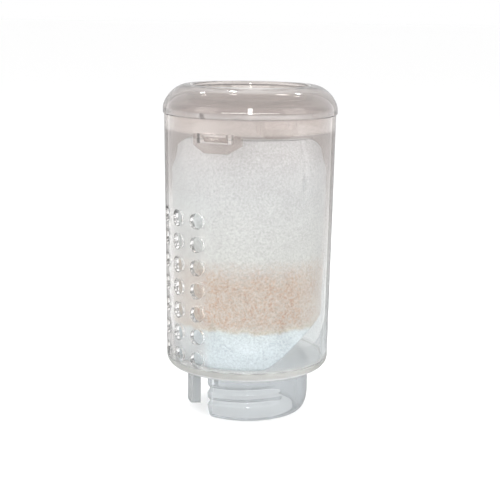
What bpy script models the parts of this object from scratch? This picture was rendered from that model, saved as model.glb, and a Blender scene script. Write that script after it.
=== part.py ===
"""Limescale filter cartridge: a clear cup on a threaded neck, its snap-in lid and a bag of resin.

Metres, +Z up. The origin is the centre of the neck's flat lower end, and Z is the axis of the cup.
A bearing is an angle in degrees from the front, -Y, towards +X, seen from above.
"""

import math

import bmesh
import bpy
from mathutils import Matrix

# The cup, one clear moulding
CUP_DIAMETER = 0.0640
CUP_DRAFT = 0.70
CUP_HEIGHT = 0.0955
CUP_WALL = 0.0020
FLOOR_THICKNESS = 0.0035
BASE_CORNER_RADIUS = 0.0037
FLOOR_CORNER_RADIUS = 0.0005

# The neck below the cup's base, with its thread
NECK_HEIGHT = 0.0174
NECK_DIAMETER = 0.0468
NECK_WALL = 0.0038
NECK_EDGE_WIDTH = 0.0032
NECK_EDGE_HEIGHT = 0.0070
THREAD_PITCH = 0.0048
THREAD_GROOVE_RADIUS = 0.00135
THREAD_FIRST_GROOVE = 0.0076
THREAD_FULL_BEARING = 20.0
THREAD_RUN_OUT = 16.0
GROOVE_TIP = 0.05

# The gap in the neck's ring on the left, and the tongue that stands in it
GAP_BEARING = -90.0
GAP_ANGLE = 103.4
TONGUE_BEARING = -86.5
TONGUE_ANGLE = 48.5
TONGUE_INSET = 0.0006
TONGUE_SETBACK = 0.0029

# The inlet holes on the left of the cup, in columns and rows
HOLE_DIAMETER = 0.0058
HOLE_COLUMNS = 6
HOLE_ROWS = 7
HOLE_BEARING = -84.3
HOLE_COLUMN_STEP = 19.0
HOLE_ROW_PITCH = 0.0086
HOLE_FLOOR_CLEARANCE = 0.0002

# The strainer holes in the floor, inside the neck: one in the middle, and rings about it
OUTLET_DIAMETER = 0.0040
OUTLET_RINGS = 2
OUTLET_BORE_CLEARANCE = 0.0036
OUTLETS_PER_RING = 6

# The lid, one clear moulding
LID_OVERHANG = 0.0005
LID_HEIGHT = 0.0108
LID_WALL = 0.0020
LID_SHOULDER_WIDTH = 0.0085
LID_SHOULDER_HEIGHT = 0.0087
LID_SHOULDER_FULLNESS = 1.65
LID_LAND_WIDTH = 0.0008
RECESS_DEPTH = 0.0048
RECESS_DRAFT = 0.0004
RECESS_LIP_RADIUS = 0.0005
DIMPLE_DIAMETER = 0.0180
DIMPLE_DEPTH = 0.0005
PLUG_DEPTH = 0.0054
PLUG_WALL = 0.0016

# The lid's two snap tabs, whose noses sit in windows in the cup's wall
LATCH_BEARINGS = (-23.5, 156.5)
WINDOW_WIDTH = 0.0132
WINDOW_HEIGHT = 0.0035
WINDOW_DROP = 0.0050
TAB_SIDE_MARGIN = 0.0024
TAB_DEPTH = 0.0067
TAB_CHAMFER_WIDTH = 0.0045
TAB_CHAMFER_HEIGHT = 0.0028
NOSE_SIDE_CLEARANCE = 0.0021
NOSE_INSET = 0.0006
NOSE_LAND = 0.0008
NOSE_ROOT = 0.0008

# The bag of resin
BAG_CLEARANCE = 0.0005
BAG_HEADROOM = 0.0112
BAG_TOP_NARROWING = 0.06
BAG_SEAM_HEIGHT = 0.0032
BAG_SEAM_THICKNESS = 0.0016
BAG_CROWN_HEIGHT = 0.0190
BAG_FOOT_HEIGHT = 0.0070
BAG_FOOT_INSET = 0.0030
BAG_FOLD_HEIGHT = 0.0190
BAG_FOLD_DEPTH = 0.0210
BAG_WRINKLE_DEPTH = 0.0005
BAG_WRINKLES = 5
BAG_WRINKLE_TWIST = 9.0

# What lies between touching pieces, and how far a cutter or a joined shape runs past
FIT_GAP = 0.0003
PAST = 0.0020

# How finely round shapes are cut into facets
TURNED_STEPS = 72
HOLE_SIDES = 14
LARGE_ARC = 7
MEDIUM_ARC = 5
SMALL_ARC = 3
BAG_SIDES = 40
BAG_LEVELS = 20
GROOVE_STEP = 5.0

# The angle from which an edge is shaded sharp, and how near points are merged
SHARP_ANGLE = 30.0
MERGE_DISTANCE = 0.00001

# Heights and radii that follow from the sizes above
BASE_Z = NECK_HEIGHT
FLOOR_Z = BASE_Z + FLOOR_THICKNESS
NECK_ROOT_Z = BASE_Z + FLOOR_THICKNESS / 2
RIM_Z = BASE_Z + CUP_HEIGHT
TOP_Z = RIM_Z + LID_HEIGHT
CUP_TOP_RADIUS = CUP_DIAMETER / 2
CUP_BASE_RADIUS = CUP_TOP_RADIUS - CUP_HEIGHT * math.tan(math.radians(CUP_DRAFT))
NECK_RADIUS = NECK_DIAMETER / 2
NECK_BORE_RADIUS = NECK_RADIUS - NECK_WALL
OUTLET_RING_PITCH = (NECK_BORE_RADIUS - OUTLET_BORE_CLEARANCE - OUTLET_DIAMETER / 2) / OUTLET_RINGS
TONGUE_RADIUS = NECK_RADIUS - TONGUE_INSET
LID_RADIUS = CUP_TOP_RADIUS + LID_OVERHANG
PLUG_RADIUS = CUP_TOP_RADIUS - CUP_WALL - FIT_GAP
LID_SEAT_Z = RIM_Z + FIT_GAP
PLUG_END_Z = RIM_Z - PLUG_DEPTH
TAB_END_Z = PLUG_END_Z - TAB_DEPTH
WINDOW_TOP_Z = RIM_Z - WINDOW_DROP
WINDOW_END_Z = WINDOW_TOP_Z - WINDOW_HEIGHT
SHOULDER_CENTRE = LID_RADIUS - LID_SHOULDER_WIDTH
SHOULDER_Z = TOP_Z - LID_SHOULDER_HEIGHT
RECESS_RADIUS = SHOULDER_CENTRE - LID_LAND_WIDTH - RECESS_LIP_RADIUS
RECESS_Z = TOP_Z - RECESS_DEPTH
TAB_WIDTH = WINDOW_WIDTH + 2 * TAB_SIDE_MARGIN
NOSE_WIDTH = WINDOW_WIDTH - 2 * NOSE_SIDE_CLEARANCE
BAG_RADIUS = CUP_BASE_RADIUS - CUP_WALL - BAG_CLEARANCE
BAG_BASE_Z = FLOOR_Z + FIT_GAP
BAG_HEIGHT = RIM_Z - BAG_HEADROOM - BAG_BASE_Z


def clear_scene():
    for thing in list(bpy.data.objects):
        bpy.data.objects.remove(thing, do_unlink=True)


def add_collection(name):
    group = bpy.data.collections.new(name)
    bpy.context.scene.collection.children.link(group)
    return group


def add_object(name, mesh, group):
    thing = bpy.data.objects.new(name, mesh)
    group.objects.link(thing)
    if group.name == "cutters":
        thing.display_type = "WIRE"
        thing.hide_render = True
    return thing


def plastic(name, colour, roughness, transmission):
    finish = bpy.data.materials.new(name)
    finish.use_nodes = True
    shader = finish.node_tree.nodes["Principled BSDF"]
    shader.inputs["Base Color"].default_value = (*colour, 1.0)
    shader.inputs["Roughness"].default_value = roughness
    shader.inputs["Metallic"].default_value = 0.0
    shader.inputs["Transmission Weight"].default_value = transmission
    return finish


def arc(centre_radius, centre_z, radius, start, end, pieces):
    """Points of an arc in the profile's plane, from one angle to another in degrees."""
    points = []
    for i in range(pieces + 1):
        angle = math.radians(start + (end - start) * i / pieces)
        points.append((centre_radius + radius * math.cos(angle), centre_z + radius * math.sin(angle)))
    return points


def rounded(centre_radius, centre_z, width, height, fullness, pieces):
    """Points of a quarter round whose width and height differ, from its top to its side.

    A fullness of 2 is an ellipse, and less is flatter, towards a chamfer. A negative height turns it over.
    """
    points = []
    for i in range(pieces + 1):
        angle = math.radians(90.0 - 90.0 * i / pieces)
        across = max(0.0, math.cos(angle)) ** (2.0 / fullness)
        up = math.sin(angle) ** (2.0 / fullness)
        points.append((centre_radius + width * across, centre_z + height * up))
    return points


def turned(name, profile, group, closed=False, half_step=False):
    """Turns a profile of (radius, height) points about Z. It runs down its outer side.

    With half a step, its facet edges fall between those of the form that it is joined to.
    """
    start = math.pi / TURNED_STEPS if half_step else 0.0
    mesh = bpy.data.meshes.new(name)
    edges = [(i, i + 1) for i in range(len(profile) - 1)]
    if closed:
        edges.append((len(profile) - 1, 0))
    corners = [(radius * math.cos(start), radius * math.sin(start), height) for radius, height in profile]
    mesh.from_pydata(corners, edges, [])
    thing = add_object(name, mesh, group)
    screw = thing.modifiers.new("Turn", "SCREW")
    screw.axis = "Z"
    screw.steps = TURNED_STEPS
    screw.render_steps = TURNED_STEPS
    screw.use_merge_vertices = True
    screw.merge_threshold = MERGE_DISTANCE
    screw.use_smooth_shade = True
    return thing


def prism(form, outline, sweep, bearing=0.0):
    """Adds a flat outline at the front, swept along a vector and turned to its bearing."""
    corners = [form.verts.new(point) for point in outline]
    face = form.faces.new(corners)
    swept = bmesh.ops.extrude_face_region(form, geom=[face])
    moved = [part for part in swept["geom"] if isinstance(part, bmesh.types.BMVert)]
    bmesh.ops.translate(form, verts=moved, vec=sweep)
    turn = Matrix.Rotation(math.radians(bearing), 3, "Z")
    bmesh.ops.rotate(form, verts=corners + moved, cent=(0.0, 0.0, 0.0), matrix=turn)


def finished_form(name, form, group):
    """Makes an object of the bmesh, with its faces pointing out."""
    bmesh.ops.recalc_face_normals(form, faces=form.faces)
    mesh = bpy.data.meshes.new(name)
    form.to_mesh(mesh)
    form.free()
    return add_object(name, mesh, group)


def rod(form, radius, length, place, bearing, lying):
    """Adds a round cutter at the front, along Y or Z, turned to its bearing.

    Its flats are twisted by half a flat, so that no corner of it falls on a facet edge of the wall.
    """
    twist = Matrix.Rotation(math.pi / HOLE_SIDES, 4, "Z")
    tilt = Matrix.Rotation(math.radians(90.0 if lying else 0.0), 4, "X")
    turn = Matrix.Rotation(math.radians(bearing), 4, "Z")
    bmesh.ops.create_cone(
        form,
        cap_ends=True,
        segments=HOLE_SIDES,
        radius1=radius,
        radius2=radius,
        depth=length,
        matrix=turn @ Matrix.Translation(place) @ tilt @ twist,
    )


def combine(target, tool, operation="DIFFERENCE"):
    step = target.modifiers.new(tool.name, "BOOLEAN")
    step.object = tool
    step.operation = operation
    step.solver = "EXACT"


def settle(thing):
    """Applies the modifiers and shades the round faces smooth between sharp edges."""
    view = bpy.context.evaluated_depsgraph_get()
    mesh = bpy.data.meshes.new_from_object(thing.evaluated_get(view))
    mesh.name = thing.name
    thing.modifiers.clear()
    thing.data = mesh
    mesh.shade_smooth()
    mesh.set_sharp_from_angle(angle=math.radians(SHARP_ANGLE))


def cup_profile():
    """From the middle of the floor up the inside, over the rim, down the outside and under the base."""
    inner_base = CUP_BASE_RADIUS - CUP_WALL
    inner_top = CUP_TOP_RADIUS - CUP_WALL
    corner = FLOOR_CORNER_RADIUS
    foot = BASE_CORNER_RADIUS
    points = [(0.0, FLOOR_Z)]
    points += arc(inner_base - corner, FLOOR_Z + corner, corner, -90.0, 0.0, SMALL_ARC)
    points += [(inner_top, RIM_Z), (CUP_TOP_RADIUS, RIM_Z)]
    points += arc(CUP_BASE_RADIUS - foot, BASE_Z + foot, foot, 0.0, -90.0, SMALL_ARC)
    points += [(0.0, BASE_Z)]
    return points


def neck_profile():
    """The neck's ring, from inside the floor down the outside, round its lower edge and up the bore."""
    edge_centre = NECK_RADIUS - NECK_EDGE_WIDTH
    edge = rounded(edge_centre, NECK_EDGE_HEIGHT, NECK_EDGE_WIDTH, -NECK_EDGE_HEIGHT, 2.0, LARGE_ARC)
    points = [(NECK_BORE_RADIUS, NECK_ROOT_Z), (NECK_RADIUS, NECK_ROOT_Z)]
    points += reversed(edge)
    points += [(NECK_BORE_RADIUS, 0.0)]
    return points


def groove_height(bearing, turn):
    """Height of the thread's groove: a right-hand helix, which rises to the right."""
    return THREAD_FIRST_GROOVE + THREAD_PITCH * (turn + bearing / 360.0)


def groove(name, turn, start, end, fade_start, fade_end, group):
    """A round groove along the helix between two bearings, which tapers out over a fade."""
    count = 2 + int(abs(end - start) / GROOVE_STEP)
    curve = bpy.data.curves.new(name, "CURVE")
    curve.dimensions = "3D"
    curve.bevel_depth = THREAD_GROOVE_RADIUS
    curve.bevel_resolution = 2
    curve.use_fill_caps = True
    line = curve.splines.new("POLY")
    line.points.add(count - 1)
    for i, point in enumerate(line.points):
        bearing = start + (end - start) * i / (count - 1)
        angle = math.radians(bearing - 90.0)
        share = (bearing - fade_start) / (fade_end - fade_start)
        point.radius = min(1.0, max(GROOVE_TIP, 1.0 - share))
        x = NECK_RADIUS * math.cos(angle)
        y = NECK_RADIUS * math.sin(angle)
        point.co = (x, y, groove_height(bearing, turn), 1.0)
    thing = bpy.data.objects.new(name, curve)
    group.objects.link(thing)
    view = bpy.context.evaluated_depsgraph_get()
    mesh = bpy.data.meshes.new_from_object(thing.evaluated_get(view))
    bpy.data.objects.remove(thing, do_unlink=True)
    form = bmesh.new()
    form.from_mesh(mesh)
    bmesh.ops.remove_doubles(form, verts=form.verts, dist=MERGE_DISTANCE)
    return finished_form(name, form, group)


def thread_grooves(group):
    """The grooves of the front and back halves. They run out before the smooth right side."""
    lowest = NECK_EDGE_HEIGHT / 2
    highest = BASE_Z - THREAD_GROOVE_RADIUS
    past_cut = GAP_BEARING + GAP_ANGLE / 2 - GROOVE_STEP
    full = THREAD_FULL_BEARING
    out = THREAD_FULL_BEARING + THREAD_RUN_OUT
    back_cut, back_full, back_out = 180.0 - past_cut, 180.0 - full, 180.0 - out
    turns = 2 + int(NECK_HEIGHT / THREAD_PITCH)
    tools = []
    for turn in range(-1, turns):
        if lowest < groove_height(past_cut, turn) and groove_height(out, turn) < highest:
            name = f"front_groove_{turn}"
            tools.append(groove(name, turn, past_cut, out, full, out, group))
        if lowest < groove_height(back_out, turn) and groove_height(back_cut, turn) < highest:
            name = f"back_groove_{turn}"
            tools.append(groove(name, turn, back_cut, back_out, back_full, back_out, group))
    return tools


def sector(form, start, end, low, high):
    """Adds a wedge through the neck's wall between two bearings, with sides that point to the axis."""
    inner = NECK_BORE_RADIUS - PAST
    outer = NECK_RADIUS + 2 * PAST
    corners = []
    for radius, bearing in ((inner, start), (outer, start), (outer, end), (inner, end)):
        angle = math.radians(bearing - 90.0)
        corners.append((radius * math.cos(angle), radius * math.sin(angle), low))
    prism(form, corners, (0.0, 0.0, high - low))


def neck_slots(group):
    """The open parts of the gap, either side of the tongue."""
    form = bmesh.new()
    high = BASE_Z + 2 * PAST
    front = GAP_BEARING + GAP_ANGLE / 2
    back = GAP_BEARING - GAP_ANGLE / 2
    sector(form, TONGUE_BEARING + TONGUE_ANGLE / 2, front, -PAST, high)
    sector(form, back, TONGUE_BEARING - TONGUE_ANGLE / 2, -PAST, high)
    return finished_form("neck_slots", form, group)


def tongue_trim(group):
    """What is turned off the ring in the gap: the tongue is set in a little and stops short."""
    outer = NECK_RADIUS + PAST
    inner = NECK_BORE_RADIUS - PAST
    profile = [(outer, BASE_Z + PAST), (outer, -PAST), (inner, -PAST), (inner, TONGUE_SETBACK)]
    profile += [(TONGUE_RADIUS, TONGUE_SETBACK), (TONGUE_RADIUS, BASE_Z + PAST)]
    ring = turned("tongue_trim", profile, group, closed=True)
    form = bmesh.new()
    reach = (TONGUE_ANGLE + GAP_ANGLE) / 4
    sector(form, TONGUE_BEARING - reach, TONGUE_BEARING + reach, -2 * PAST, BASE_Z + 2 * PAST)
    combine(ring, finished_form("tongue_sector", form, group), "INTERSECT")
    return ring


def inlet_holes(group):
    """Columns of round holes on the left side, from just above the floor."""
    lowest = FLOOR_Z + FLOOR_CORNER_RADIUS + HOLE_FLOOR_CLEARANCE + HOLE_DIAMETER / 2
    inner = CUP_BASE_RADIUS - CUP_WALL - PAST
    outer = CUP_TOP_RADIUS + PAST
    form = bmesh.new()
    for column in range(HOLE_COLUMNS):
        bearing = HOLE_BEARING + HOLE_COLUMN_STEP * (column - (HOLE_COLUMNS - 1) / 2)
        for row in range(HOLE_ROWS):
            place = (0.0, -(inner + outer) / 2, lowest + HOLE_ROW_PITCH * row)
            rod(form, HOLE_DIAMETER / 2, outer - inner, place, bearing, lying=True)
    return finished_form("inlet_holes", form, group)


def outlet_holes(group):
    """The strainer in the floor, inside the neck."""
    form = bmesh.new()
    middle = (BASE_Z + FLOOR_Z) / 2
    length = FLOOR_THICKNESS + PAST
    rod(form, OUTLET_DIAMETER / 2, length, (0.0, 0.0, middle), 0.0, lying=False)
    for ring in range(1, OUTLET_RINGS + 1):
        count = OUTLETS_PER_RING * ring
        for i in range(count):
            place = (0.0, -OUTLET_RING_PITCH * ring, middle)
            rod(form, OUTLET_DIAMETER / 2, length, place, 360.0 * i / count, lying=False)
    return finished_form("outlet_holes", form, group)


def latch_windows(group):
    """Rectangular windows through the wall, just below the rim."""
    form = bmesh.new()
    inner = CUP_TOP_RADIUS - CUP_WALL - PAST
    half = WINDOW_WIDTH / 2
    outline = [
        (-half, -inner, WINDOW_END_Z),
        (half, -inner, WINDOW_END_Z),
        (half, -inner, WINDOW_TOP_Z),
        (-half, -inner, WINDOW_TOP_Z),
    ]
    for bearing in LATCH_BEARINGS:
        prism(form, outline, (0.0, -CUP_WALL - 2 * PAST, 0.0), bearing)
    return finished_form("latch_windows", form, group)


def make_neck(cutters):
    """The threaded ring, whose upper end is sunk in the cup's floor."""
    neck = turned("neck", neck_profile(), cutters, closed=True, half_step=True)
    for tool in thread_grooves(cutters):
        combine(neck, tool)
    combine(neck, tongue_trim(cutters))
    combine(neck, neck_slots(cutters))
    return neck


def make_cup(parts, cutters):
    cup = turned("cup", cup_profile(), parts)
    combine(cup, make_neck(cutters), "UNION")
    combine(cup, inlet_holes(cutters))
    combine(cup, outlet_holes(cutters))
    combine(cup, latch_windows(cutters))
    return cup


def lid_profile():
    """From the middle of the recess over the lip and shoulder, down the outside and back inside."""
    lip = RECESS_LIP_RADIUS
    wall = LID_WALL
    width = LID_SHOULDER_WIDTH
    height = LID_SHOULDER_HEIGHT
    fullness = LID_SHOULDER_FULLNESS
    dimple = DIMPLE_DIAMETER / 2
    dimple_z = RECESS_Z - DIMPLE_DEPTH
    recess_base = RECESS_RADIUS - RECESS_DRAFT
    plug_inner = PLUG_RADIUS - PLUG_WALL
    points = [(0.0, dimple_z), (dimple - DIMPLE_DEPTH, dimple_z), (dimple, RECESS_Z)]
    points += [(recess_base, RECESS_Z)]
    points += arc(RECESS_RADIUS + lip, TOP_Z - lip, lip, 180.0, 90.0, SMALL_ARC)
    points += rounded(SHOULDER_CENTRE, SHOULDER_Z, width, height, fullness, LARGE_ARC)
    points += [(LID_RADIUS, LID_SEAT_Z), (PLUG_RADIUS, LID_SEAT_Z), (PLUG_RADIUS, TAB_END_Z)]
    points += [(plug_inner, TAB_END_Z), (plug_inner, RIM_Z), (LID_RADIUS - wall, SHOULDER_Z)]
    inside = rounded(SHOULDER_CENTRE, SHOULDER_Z, width - wall, height - wall, fullness, MEDIUM_ARC)
    points += list(reversed(inside))[1:-1]
    points += [(RECESS_RADIUS + wall, TOP_Z - wall), (recess_base + wall, RECESS_Z - wall)]
    points += [(0.0, RECESS_Z - wall)]
    return points


def tab_outline():
    """The outline of one snap tab at the front, with its chamfered lower corners."""
    half = TAB_WIDTH / 2
    narrow = half - TAB_CHAMFER_WIDTH
    chamfer_z = TAB_END_Z + TAB_CHAMFER_HEIGHT
    high = PLUG_END_Z + PAST
    low = TAB_END_Z - 2 * PAST
    near = PLUG_RADIUS - PLUG_WALL - 2 * PAST
    flat = [(-half, high), (-half, chamfer_z), (-narrow, TAB_END_Z), (-narrow, low)]
    flat += [(narrow, low), (narrow, TAB_END_Z), (half, chamfer_z), (half, high)]
    return [(x, -near, z) for x, z in flat]


def skirt_trim(group):
    """What is cut off the plug's skirt below its edge, all round but for the two tabs."""
    inner = PLUG_RADIUS - PLUG_WALL - PAST
    outer = PLUG_RADIUS + PAST
    low = TAB_END_Z - PAST
    profile = [(outer, PLUG_END_Z), (outer, low), (inner, low), (inner, PLUG_END_Z)]
    ring = turned("skirt_trim", profile, group, closed=True)
    form = bmesh.new()
    for bearing in LATCH_BEARINGS:
        prism(form, tab_outline(), (0.0, -PLUG_WALL - 5 * PAST, 0.0), bearing)
    combine(ring, finished_form("tab_outlines", form, group))
    return ring


def latch_noses(group):
    """The noses on the tabs: a flat catch on top and a ramp below, for pushing the lid in."""
    form = bmesh.new()
    root = PLUG_RADIUS - NOSE_ROOT
    tip = CUP_TOP_RADIUS - NOSE_INSET
    top = WINDOW_TOP_Z - FIT_GAP
    end = WINDOW_END_Z + FIT_GAP
    half = NOSE_WIDTH / 2
    outline = [(root, top), (tip, top), (tip, top - NOSE_LAND), (PLUG_RADIUS, end), (root, end)]
    placed = [(-half, -radius, height) for radius, height in outline]
    for bearing in LATCH_BEARINGS:
        prism(form, placed, (NOSE_WIDTH, 0.0, 0.0), bearing)
    return finished_form("latch_noses", form, group)


def make_lid(parts, cutters):
    lid = turned("lid", lid_profile(), parts)
    combine(lid, skirt_trim(cutters))
    combine(lid, latch_noses(cutters), "UNION")
    return lid


def smooth_step(value):
    value = min(1.0, max(0.0, value))
    return value * value * (3.0 - 2.0 * value)


def bag_section(height):
    """Half widths of the bag along X and Y, and how far its right side is folded in."""
    radius = BAG_RADIUS + height * math.tan(math.radians(CUP_DRAFT))
    crown = (BAG_HEIGHT - BAG_SEAM_HEIGHT - height) / BAG_CROWN_HEIGHT
    flat = math.sqrt(1.0 - (1.0 - min(1.0, max(0.0, crown))) ** 2)
    half_y = BAG_SEAM_THICKNESS / 2 + (radius - BAG_SEAM_THICKNESS / 2) * flat
    half_x = radius * (1.0 - BAG_TOP_NARROWING * (1.0 - flat))
    foot = 1.0 - min(1.0, height / BAG_FOOT_HEIGHT)
    inset = BAG_FOOT_INSET * (1.0 - math.sqrt(1.0 - foot * foot))
    fold = BAG_FOLD_DEPTH * (1.0 - min(1.0, height / BAG_FOLD_HEIGHT))
    return half_x - inset, half_y - inset, fold


def make_bag(parts):
    """A pillow of fleece: round below, pinched to a flat seam on top, one lower corner folded in."""
    form = bmesh.new()
    rings = []
    for level in range(BAG_LEVELS + 1):
        share = level / BAG_LEVELS
        height = BAG_HEIGHT * (0.5 - 0.5 * math.cos(math.pi * share))
        half_x, half_y, fold = bag_section(height)
        ring = []
        for side in range(BAG_SIDES):
            angle = 2.0 * math.pi * side / BAG_SIDES
            wrinkle = BAG_WRINKLE_DEPTH * math.sin(BAG_WRINKLES * angle + BAG_WRINKLE_TWIST * share)
            wrinkle *= smooth_step(half_y / BAG_RADIUS)
            x = (half_x - BAG_WRINKLE_DEPTH + wrinkle) * math.cos(angle)
            y = half_y * math.sin(angle)
            x = min(x, half_x - fold)
            ring.append(form.verts.new((x, y, BAG_BASE_Z + height)))
        rings.append(ring)
    for lower, upper in zip(rings, rings[1:]):
        for i in range(BAG_SIDES):
            j = (i + 1) % BAG_SIDES
            form.faces.new((lower[i], lower[j], upper[j], upper[i]))
    form.faces.new(reversed(rings[0]))
    form.faces.new(rings[-1])
    return finished_form("resin_bag", form, parts)


def main():
    clear_scene()
    parts = add_collection("limescale_filter_cartridge")
    cutters = add_collection("cutters")
    clear = plastic("clear_styrene", (0.93, 0.92, 0.90), 0.08, 0.9)
    fleece = plastic("white_fleece", (0.84, 0.83, 0.80), 0.85, 0.0)
    cup = make_cup(parts, cutters)
    lid = make_lid(parts, cutters)
    bag = make_bag(parts)
    for thing, finish in ((cup, clear), (lid, clear), (bag, fleece)):
        settle(thing)
        thing.data.materials.clear()
        thing.data.materials.append(finish)


main()
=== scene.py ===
"""The looks of a limescale filter cartridge: a clear styrene cup and lid around a fleece bag of resin.

Metres, +Z up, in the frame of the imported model. A bearing is an angle in degrees from the front,
-Y, towards +X.
"""

import math

import bpy
import numpy as np
from mathutils import Euler, Matrix, Vector, noise


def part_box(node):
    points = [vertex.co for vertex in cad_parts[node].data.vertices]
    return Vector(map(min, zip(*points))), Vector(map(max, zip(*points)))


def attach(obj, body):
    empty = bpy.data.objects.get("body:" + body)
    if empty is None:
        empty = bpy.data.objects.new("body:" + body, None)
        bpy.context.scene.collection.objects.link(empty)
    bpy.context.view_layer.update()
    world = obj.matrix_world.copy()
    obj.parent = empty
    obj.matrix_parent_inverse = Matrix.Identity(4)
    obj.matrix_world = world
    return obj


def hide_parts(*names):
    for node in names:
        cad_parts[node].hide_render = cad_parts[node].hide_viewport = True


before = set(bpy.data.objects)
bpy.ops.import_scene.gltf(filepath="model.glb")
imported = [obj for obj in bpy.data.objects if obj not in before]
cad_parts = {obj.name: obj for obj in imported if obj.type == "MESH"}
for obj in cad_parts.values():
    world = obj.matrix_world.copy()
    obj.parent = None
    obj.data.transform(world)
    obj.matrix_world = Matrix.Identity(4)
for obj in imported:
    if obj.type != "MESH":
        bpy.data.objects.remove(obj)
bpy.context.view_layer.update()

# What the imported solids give: the far corners of the cup and the lid, and the bag's near corner
_, CUP_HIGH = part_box("cup")
_, LID_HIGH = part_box("lid")
BAG_LOW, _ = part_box("resin_bag")

# The cup's wall and floor
CUP_RADIUS = CUP_HIGH.x
RIM_Z = CUP_HIGH.z
CUP_WALL = 0.0020
CUP_DRAFT = 0.70
FLOOR_THICKNESS = 0.0035
FLOOR_FILLET = 0.0005
BASE_CORNER = 0.0037

# The neck and its thread
NECK_HEIGHT = 0.0174
NECK_RADIUS = 0.0234
NECK_WALL = 0.0038
NECK_EDGE_WIDTH = 0.0032
NECK_EDGE_HEIGHT = 0.0070
THREAD_PITCH = 0.0048
THREAD_DEPTH = 0.00135
THREAD_MOUTH = 0.0034
THREAD_FIRST_GROOVE = 0.0076
THREAD_FULL_BEARING = 20.0
THREAD_RUN_OUT = 16.0

# The gap in the neck's ring on the left, and the tongue that stands in it
GAP_BEARING = -90.0
GAP_ANGLE = 103.4
TONGUE_BEARING = -86.5
TONGUE_ANGLE = 48.5
TONGUE_INSET = 0.0006
TONGUE_SETBACK = 0.0029
TONGUE_CORNER = 0.0022

# The holes: inlets on the left, and a strainer in the floor
HOLE_RADIUS = 0.0029
HOLE_COLUMNS = 6
HOLE_ROWS = 7
HOLE_BEARING = -84.3
HOLE_COLUMN_STEP = 19.0
HOLE_ROW_PITCH = 0.0086
HOLE_FLOOR_CLEARANCE = 0.0002
HOLE_CHAMFER = 0.00028
OUTLET_RADIUS = 0.0020
OUTLET_RINGS = 2
OUTLET_BORE_CLEARANCE = 0.0036
OUTLETS_PER_RING = 6

# The lid
LID_RADIUS = LID_HIGH.x
TOP_Z = LID_HIGH.z
LID_WALL = 0.0020
LID_SHOULDER_WIDTH = 0.0085
LID_SHOULDER_HEIGHT = 0.0087
LID_SHOULDER_FULLNESS = 1.65
LID_LAND = 0.0008
LID_EDGE = 0.0003
RECESS_DEPTH = 0.0048
RECESS_DRAFT = 0.0010
RECESS_LIP = 0.0012
RECESS_FILLET = 0.0012
DIMPLE_RADIUS = 0.0090
DIMPLE_DEPTH = 0.0005
PLUG_DEPTH = 0.0054
PLUG_WALL = 0.0016

# The latches
LATCH_BEARINGS = (-23.5, 156.5)
WINDOW_WIDTH = 0.0132
WINDOW_HEIGHT = 0.0035
WINDOW_DROP = 0.0050
TAB_SIDE_MARGIN = 0.0024
TAB_DEPTH = 0.0067
TAB_CHAMFER_WIDTH = 0.0045
TAB_CHAMFER_HEIGHT = 0.0028
NOSE_SIDE_CLEARANCE = 0.0021
NOSE_INSET = 0.0006
NOSE_LAND = 0.0008
NOSE_ROOT = 0.0008

# How far a cutter runs past, how far the slots bite into the base, and the gap between two pieces
PAST = 0.0020
SLOT_BITE = 0.00003
FIT_GAP = 0.0003

# How finely round shapes are cut. A hole's facets are turned by a share of half a facet
SPIN_STEPS = 240
HOLE_SIDES = 40
HOLE_TWIST = 0.7

# How many steps the straight stretches and the rounds of a profile have
WALL_STEPS = 30
NECK_STEPS = 60
FLOOR_STEPS = 10
RECESS_STEPS = 6
PLAIN_STEPS = 8
LEDGE_STEPS = 3
SHORT_STEPS = 2
SMALL_ARC = 4
MEDIUM_ARC = 8
LIP_ARC = 10
INNER_ARC = 30
LARGE_ARC = 40

# Small amounts: how near points are merged, what counts as past a height or a radius, the least
# number that anything is divided by, and the size of the plane that a form starts from
MERGE_DISTANCE = 0.000005
HEIGHT_MARGIN = 0.00001
RADIUS_MARGIN = 0.00005
NEAR_ZERO = 0.000001
SEED_SIZE = 0.001

# Edges that turn by more than this many degrees stay sharp
SHARP_ANGLE = 35.0
FLEECE_SHARP_ANGLE = 60.0

# Heights, radii and angles that follow
BASE_Z = NECK_HEIGHT
FLOOR_Z = BASE_Z + FLOOR_THICKNESS
CUP_SLOPE = math.tan(math.radians(CUP_DRAFT))
BASE_RADIUS = CUP_RADIUS - (RIM_Z - BASE_Z) * CUP_SLOPE
BORE_RADIUS = NECK_RADIUS - NECK_WALL
TONGUE_RADIUS = NECK_RADIUS - TONGUE_INSET
SLOT_MIDDLE_ANGLE = (TONGUE_ANGLE + GAP_ANGLE) / 4
PLUG_RADIUS = CUP_RADIUS - CUP_WALL - FIT_GAP
LID_SEAT_Z = RIM_Z + FIT_GAP
PLUG_END_Z = RIM_Z - PLUG_DEPTH
TAB_END_Z = PLUG_END_Z - TAB_DEPTH
WINDOW_TOP_Z = RIM_Z - WINDOW_DROP
WINDOW_END_Z = WINDOW_TOP_Z - WINDOW_HEIGHT
SHOULDER_CENTRE = LID_RADIUS - LID_SHOULDER_WIDTH
SHOULDER_Z = TOP_Z - LID_SHOULDER_HEIGHT
RECESS_RADIUS = SHOULDER_CENTRE - LID_LAND - RECESS_LIP
RECESS_Z = TOP_Z - RECESS_DEPTH
OUTLET_RING_PITCH = (BORE_RADIUS - OUTLET_BORE_CLEARANCE - OUTLET_RADIUS) / OUTLET_RINGS

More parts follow.
